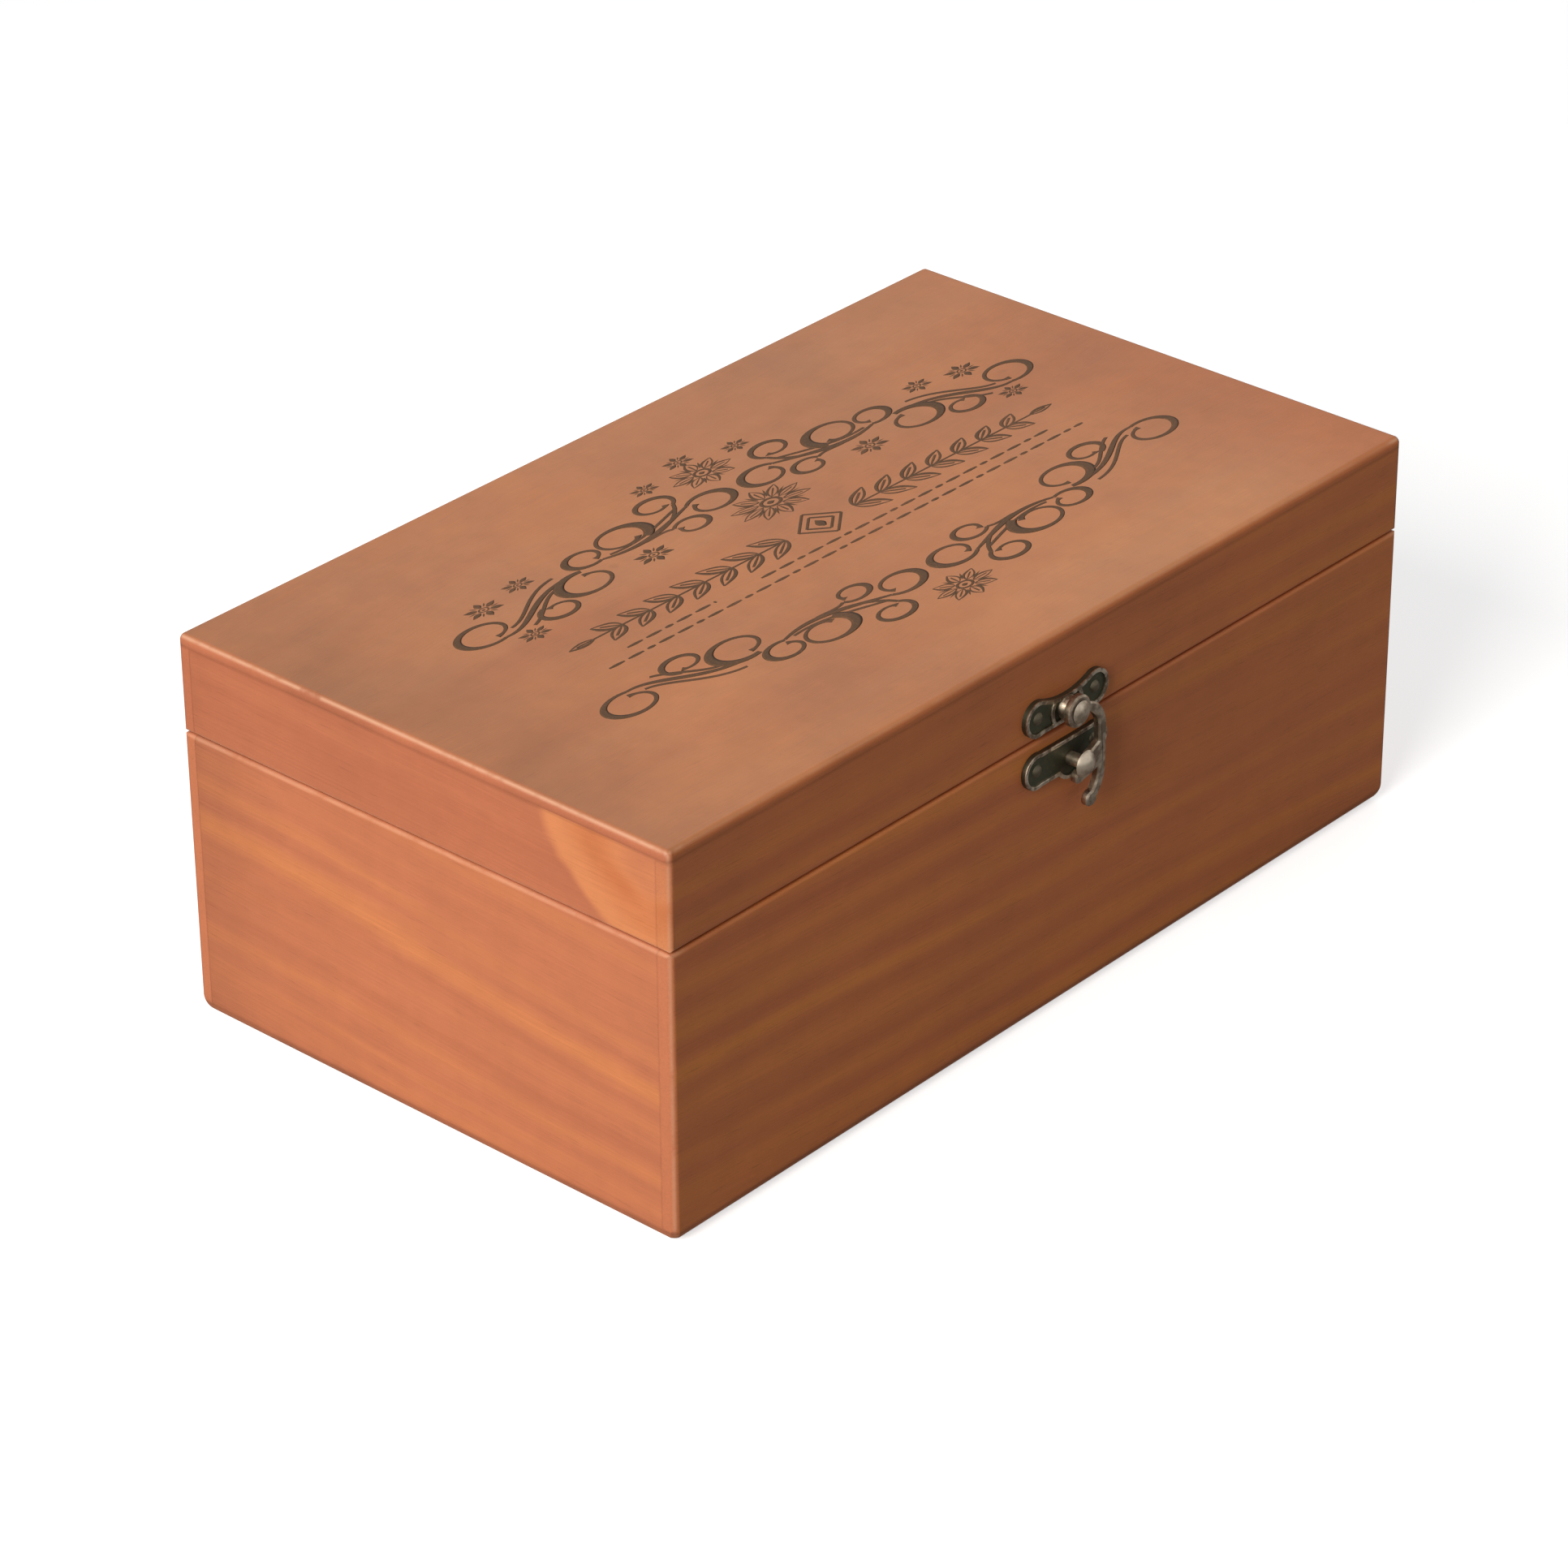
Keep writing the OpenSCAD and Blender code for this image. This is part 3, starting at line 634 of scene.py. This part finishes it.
# each stem: start, two handles, end, greatest width
stems = [
    ((-81.6, 17.35), (-72.5, 16.5), (-67.0, 27.5), (-50.7, 26.1), 1.15),
    ((-78.2, 19.4), (-72.0, 20.0), (-67.0, 27.6), (-57.0, 28.4), 0.75),
    ((-74.0, 16.6), (-68.0, 18.6), (-65.0, 24.4), (-57.5, 24.6), 0.75),
    ((-43.6, 26.5), (-33.0, 23.4), (-25.0, 26.6), (-13.9, 30.0), 1.3),
    ((-41.0, 26.8), (-32.0, 25.6), (-25.0, 28.6), (-16.0, 31.2), 0.75),
    ((-29.0, 25.6), (-22.0, 26.4), (-17.0, 29.4), (-15.1, 32.9), 0.8),
    ((-32.0, 25.0), (-29.0, 25.0), (-26.0, 25.8), (-23.3, 24.6), 0.75),
]


def past(t, begin):  # 0 until begin, then up to 1 at the end of a stroke
    return max(0.0, (t - begin) / (1 - begin))


def curlPath(middleA, middleB, radius, start, sweep, width, widest):
    path = []
    for i in range(ornament["steps"] + 1):
        t = i / ornament["steps"]
        angle = math.radians(start + sweep * curlPlan["wind"] * t)
        reach = radius * (1.0 - curlPlan["tuck"] * past(t, curlPlan["tuckFrom"]) ** curlPlan["tuckBow"])
        swell = math.exp(-((t - widest) / curlPlan["swell"]) ** 2)
        thick = ornament["line"] + (width - ornament["line"]) * swell
        thick += curlPlan["ball"] * past(t, curlPlan["ballFrom"])
        at = (middleA / ornament["stretch"] + reach * math.cos(angle), middleB + reach * math.sin(angle))
        path.append((*at, thick / 2))
    return path


def stemPath(start, leave, arrive, end, width):
    path = []
    for i in range(ornament["steps"] + 1):
        t = i / ornament["steps"]
        shares = ((1 - t) ** 3, 3 * t * (1 - t) ** 2, 3 * t * t * (1 - t), t ** 3)
        points = (start, leave, arrive, end)
        a = sum(s * p[0] for s, p in zip(shares, points)) / ornament["stretch"]
        b = sum(s * p[1] for s, p in zip(shares, points))
        swell = math.sin(math.pi * t) ** 1.3
        path.append((a, b, (ornament["line"] + (width - ornament["line"]) * swell) / 2))
    return path


def drawStrokes(name, paths):  # brush strokes as one curve, made a mesh and laid flat on the lid
    bpy.ops.object.select_all(action="DESELECT")
    bpy.ops.curve.primitive_bezier_curve_add()
    piece = bpy.context.object
    piece.name = name
    curve = piece.data
    curve.splines.clear()
    curve.dimensions = "3D"
    curve.bevel_depth = 1.0
    curve.bevel_resolution = 1
    curve.use_fill_caps = True
    for path in paths:
        line = curve.splines.new("POLY")
        line.points.add(len(path) - 1)
        for point, (a, b, radius) in zip(line.points, path):
            askewA = a + b * ornament["lean"] / ornament["stretch"]
            askewB = b - a * ornament["turn"] * ornament["stretch"]
            point.co = (askewA, askewB, 0, 1)
            point.radius = radius
    bpy.ops.object.convert(target="MESH")
    piece.scale = (ornament["stretch"] * mm, mm, ornament["ink"])
    piece.location = ornament["middle"]
    bpy.ops.object.transform_apply(location=True, rotation=False, scale=True)
    bpy.ops.object.shade_smooth()
    return piece


def mirrored(path, sideways, upright):
    return [(a * sideways, b * upright, radius) for a, b, radius in path]


quarter = [curlPath(*curl) for curl in curls] + [stemPath(*stem) for stem in stems]
quarters = [(side, up) for side in (1, -ornament["rightShare"]) for up in (1, -1)]
scrolls = drawStrokes("print_scrolls", [mirrored(path, *turn) for path in quarter for turn in quarters])

# each rosette: place along and across, radius, petals
rosettes = [(0, 38.4, 5.4, 8), (0, 17.7, 6.6, 10), (0, -38.4, 5.2, 8), (0, 45.8, 2.6, 6)]
for side in (-1, 1):
    rosettes += [
        (side * 34.7, 19.8, 3.2, 6), (side * 76.6, 29.3, 3.1, 6), (side * 64.0, 31.8, 2.6, 6),
        (side * 76.7, 13.9, 2.6, 6), (side * 14.5, 42.1, 2.4, 6),
    ]
rosettePlan = {
    "largeFrom": 4, "ringLeast": 0.14, "ringSteps": 20,
    "shares": {  # of the radius; petals and spikes then divide their width by the number of petals
        "outlineRoot": 0.3, "outlineWidth": 2.6, "petalRoot": 0.32, "petalWidth": 2.2,
        "spikeRoot": 0.4, "spikeTip": 0.84, "spikeWidth": 0.6,
        "ring": 0.24, "ringLine": 0.05, "seed": 0.1, "seedWidth": 0.2,
    },
}


def leafPath(a, b, angle, start, length, width):
    path = []
    steps = 8
    for i in range(steps + 1):
        t = i / steps
        reach = start + (length - start) * t
        thick = width * math.sin(math.pi * min(0.97, max(0.06, t)) ** 0.8) / 2  # never quite thin to nothing
        path.append((a + reach * math.cos(angle), b + reach * math.sin(angle), thick))
    return path


def leafOutline(a, b, angle, length, width, line):  # two bowed strokes with a vein between
    paths = []
    steps = 10
    for bow in (-1, 0, 1):
        path = []
        for i in range(steps + 1):
            t = i / steps * (1.0 if bow else 0.7)
            reach, off = length * t, bow * width / 2 * math.sin(math.pi * t ** 0.85)
            thick = line * (0.55 + 0.7 * math.sin(math.pi * t)) * (1.15 if bow > 0 else 0.75)
            path.append((
                a + reach * math.cos(angle) - off * math.sin(angle),
                b + reach * math.sin(angle) + off * math.cos(angle),
                thick,
            ))
        paths.append(path)
    return paths


def ringPath(a, b, radius, thick, steps):
    angles = [math.radians(360 * i / steps) for i in range(steps + 1)]
    return [(a + radius * math.cos(t), b + radius * math.sin(t), thick) for t in angles]


def rosettePaths(middleA, b, radius, petals):
    size = {key: share * radius for key, share in rosettePlan["shares"].items()}
    a = middleA / ornament["stretch"]
    paths = []
    for i in range(petals):
        angle = math.radians(90 + 360 * i / petals)
        between = angle + math.pi / petals
        if radius > rosettePlan["largeFrom"]:  # the large ones are only outlined
            root, width = size["outlineRoot"], size["outlineWidth"] / petals
            start = (a + root * math.cos(angle), b + root * math.sin(angle))
            paths += leafOutline(*start, angle, radius - root, width, ornament["petal"])
        else:
            paths.append(leafPath(a, b, angle, size["petalRoot"], radius, size["petalWidth"] / petals))
        spike = (size["spikeRoot"], size["spikeTip"], size["spikeWidth"] / petals)
        paths.append(leafPath(a, b, between, *spike))
    thick = max(rosettePlan["ringLeast"], size["ringLine"])
    paths.append(ringPath(a, b, size["ring"], thick, rosettePlan["ringSteps"]))
    paths.append(leafPath(a, b, 0, -size["seed"], size["seed"], size["seedWidth"]))
    return paths


flowers = drawStrokes("print_rosettes", [path for rosette in rosettes for path in rosettePaths(*rosette)])

garland = {
    "across": 3.2, "middleGap": 11, "reach": 70, "stemSteps": 20,
    "pairs": 7, "leaf": 6.4, "shrink": 0.25, "width": 2.1, "lean": 46, "bud": (4.4, 1.5),
    "lozenge": (4.0, 5.4), "lozengeSizes": (1.0, 0.62), "lozengeLine": 0.26, "lozengeSteps": 6, "seed": 1.6,
}


def garlandPaths():  # a plain leafy spray to both sides of a lozenge
    paths = []
    level, line = garland["across"], ornament["hair"]
    near, far = garland["middleGap"] / ornament["stretch"], garland["reach"] / ornament["stretch"]
    lozengeA, lozengeB = garland["lozenge"]
    stemShares = [i / garland["stemSteps"] for i in range(garland["stemSteps"] + 1)]
    sideShares = [i / garland["lozengeSteps"] for i in range(garland["lozengeSteps"] + 1)]
    for side in (-1, 1):
        outwards = 0 if side > 0 else math.pi
        paths.append([(side * (near + (far - near) * share), level, line) for share in stemShares])
        for i in range(garland["pairs"]):
            share = i / garland["pairs"]
            at = side * (near + (far - near) * share)
            length = garland["leaf"] * (1 - garland["shrink"] * share)
            for up in (-1, 1):
                angle = outwards + side * up * math.radians(garland["lean"])
                paths += leafOutline(at, level, angle, length, garland["width"], line)
        paths += leafOutline(side * far, level, outwards, *garland["bud"], line)
        for up in (-1, 1):
            for size in garland["lozengeSizes"]:
                a, b = side * lozengeA * size, up * lozengeB * size
                paths.append([(a * (1 - t), level + b * t, garland["lozengeLine"]) for t in sideShares])
    paths.append(leafPath(0, level, math.pi / 2, -garland["seed"], garland["seed"], garland["seed"]))
    return paths


spray = drawStrokes("print_garland", garlandPaths())

# each rule: across, from, to; made of short dashes
rules = [(-4.5, -68, -41), (-4.5, -27, 67), (-8.0, -77, 75)]
dashes = {"long": 4.6, "short": 2.4, "gap": 1.1, "thick": 0.42, "pointed": 0.45, "steps": 6}


def dashPath(across, begin, end):
    path = []
    for i in range(dashes["steps"] + 1):
        t = i / dashes["steps"]
        thick = dashes["thick"] * (1 - dashes["pointed"] + dashes["pointed"] * math.sin(math.pi * t))
        path.append(((begin + (end - begin) * t) / ornament["stretch"], across, thick))
    return path


def rulePaths(across, begin, end):
    paths = []
    at = begin
    while at < end:
        length = dashes["short"] if len(paths) % 3 == 2 else dashes["long"]  # every third dash is short
        stop = min(end, at + length)
        paths.append(dashPath(across, at, stop))
        at = stop + dashes["gap"]
    return paths


ruling = drawStrokes("print_rules", [path for rule in rules for path in rulePaths(*rule)])

inkPlan = {"full": paint(106, 79, 57), "thin": paint(161, 112, 82), "rough": 0.6, "shine": 0.12}


def inkLook(name):
    look = Look(bpy.data.materials.new(name))
    x, y, z = look.place()
    spot = look.vector(x, y, z)
    speck = look.noise(spot, 2600, 2, 0.6)
    fade = look.noise(spot, 60, 2)
    thin = speck.rise(0.5, 0.72) * 0.35 + fade.rise(0.45, 0.75) * 0.25
    return look.surface({
        "Base Color": look.mix(thin, inkPlan["full"], inkPlan["thin"]),
        "Roughness": inkPlan["rough"],
        "Specular IOR Level": inkPlan["shine"],
    })


ink = inkLook("ink.print")
printed = (scrolls, flowers, spray, ruling)
for piece in printed:
    piece.data.materials.clear()
    piece.data.materials.append(ink)
    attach(piece, "lid")
print("print laid on the lid:", sum(len(piece.data.polygons) for piece in printed), "faces")


# stage: pale floor, soft light from the left, camera as in the photograph

floorPlan = {
    "size": 12.0, "drop": 0.05 * mm, "fadeFrom": 0.25, "fadeTo": 0.6,
    "bounce": 0.36, "seen": 0.92, "lift": 0.62,
    "holeInset": 4.2 * mm,  # open below the box, so that its underside has light when looked at
    "holeSoft": 0.3 * mm,
}


def floorLook():
    look = Look(bpy.data.materials.new("stage.floor"))
    path = look.node("ShaderNodeLightPath")
    shown = path.out("Is Camera Ray").most(path.out("Is Transmission Ray"))
    seen = look.node("ShaderNodeBsdfDiffuse", {}, {"Color": (floorPlan["seen"],) * 3 + (1,)})
    glow = look.node("ShaderNodeEmission", {}, {"Strength": floorPlan["lift"]})
    pale = look.node("ShaderNodeAddShader", {}, {0: seen, 1: glow})
    bounce = look.node("ShaderNodeBsdfDiffuse", {}, {"Color": (floorPlan["bounce"],) * 3 + (1,)})
    surface = look.node("ShaderNodeMixShader", {}, {0: shown, 1: bounce, 2: pale})
    x, y, z = look.place()
    away = (x * x + y * y) ** 0.5
    clear = away.rise(floorPlan["fadeFrom"], floorPlan["fadeTo"]) * shown
    under = look.node("ShaderNodeNewGeometry").out("Backfacing")
    inset = (halfLength - abs(x)).least(halfDepth - abs(y))
    hole = inset.rise(floorPlan["holeInset"], floorPlan["holeInset"] + floorPlan["holeSoft"])
    palePatch = look.node("ShaderNodeMixShader", {}, {
        0: clear.most(under).most(hole), 1: surface, 2: look.node("ShaderNodeBsdfTransparent"),
    })
    look.node("ShaderNodeOutputMaterial", {}, {"Surface": palePatch})
    return look.owner


bpy.ops.object.select_all(action="DESELECT")
bpy.ops.mesh.primitive_plane_add(size=floorPlan["size"], location=(0, 0, -floorPlan["drop"]))
floor = bpy.context.object
floor.name = "floor"
floor.data.materials.append(floorLook())

worldPlan = {"fill": 0.176, "glossy": 0.68, "seen": 1.0}


def lightWorld():  # white where it is seen, dimmer where it only lights
    world = bpy.data.worlds.new("studio")
    bpy.context.scene.world = world
    look = Look(world)
    path = look.node("ShaderNodeLightPath")
    shown = path.out("Is Camera Ray").most(path.out("Is Transmission Ray"))
    level = look.node("ShaderNodeMix", {}, {
        "Factor": path.out("Is Glossy Ray"), "A": worldPlan["fill"], "B": worldPlan["glossy"],
    })
    level = look.node("ShaderNodeMix", {}, {"Factor": shown, "A": level, "B": worldPlan["seen"]})
    sky = look.node("ShaderNodeBackground", {}, {"Color": (1, 1, 1, 1), "Strength": level})
    look.node("ShaderNodeOutputWorld", {}, {"Surface": sky})


lightWorld()

lamps = {
    "key": {"from": (-2.61, -0.3, 1.49), "size": 1.8, "power": 91.0, "tint": (1.0, 0.98, 0.95)},
    "back": {"from": (1.5, 1.4, 1.5), "size": 1.6, "power": 6.0, "tint": (1.0, 1.0, 1.0)},
}
aim = Vector((0, 0, 0.05))
for name, lamp in lamps.items():
    bpy.ops.object.light_add(type="AREA", location=lamp["from"])
    light = bpy.context.object
    light.name = "lamp." + name
    light.data.size = lamp["size"]
    light.data.energy = lamp["power"]
    light.data.color = lamp["tint"]
    light.rotation_euler = (aim - light.location).to_track_quat("-Z", "Y").to_euler()

view = {
    "imageSide": 1932, "focal": 6974.4, "azimuth": -48.383, "elevation": 29.81, "roll": -0.406,
    "distance": 1.2564, "slideRight": 5.826 * mm, "slideUp": -26.103 * mm, "sensor": 36.0,
    "near": 0.05, "far": 50,
}


def placeCamera():
    az, el, roll = (math.radians(view[key]) for key in ("azimuth", "elevation", "roll"))
    back = Vector((math.sin(az) * math.cos(el), -math.cos(az) * math.cos(el), math.sin(el)))
    level = Vector((0, 0, 1)).cross(back).normalized()
    upright = back.cross(level)
    right = math.cos(roll) * level + math.sin(roll) * upright
    up = math.cos(roll) * upright - math.sin(roll) * level
    at = back * view["distance"] - right * view["slideRight"] - up * view["slideUp"]
    bpy.ops.object.camera_add()
    camera = bpy.context.object
    camera.name = "photo camera"
    camera.data.sensor_width = view["sensor"]
    camera.data.lens = view["focal"] * view["sensor"] / view["imageSide"]
    camera.data.clip_start = view["near"]
    camera.data.clip_end = view["far"]
    turned = Matrix((right, up, back)).transposed().to_4x4()
    camera.matrix_world = Matrix.Translation(at) @ turned
    bpy.context.scene.camera = camera


placeCamera()
bpy.context.scene.view_settings.view_transform = "Standard"
print("stage, lamps and camera set")
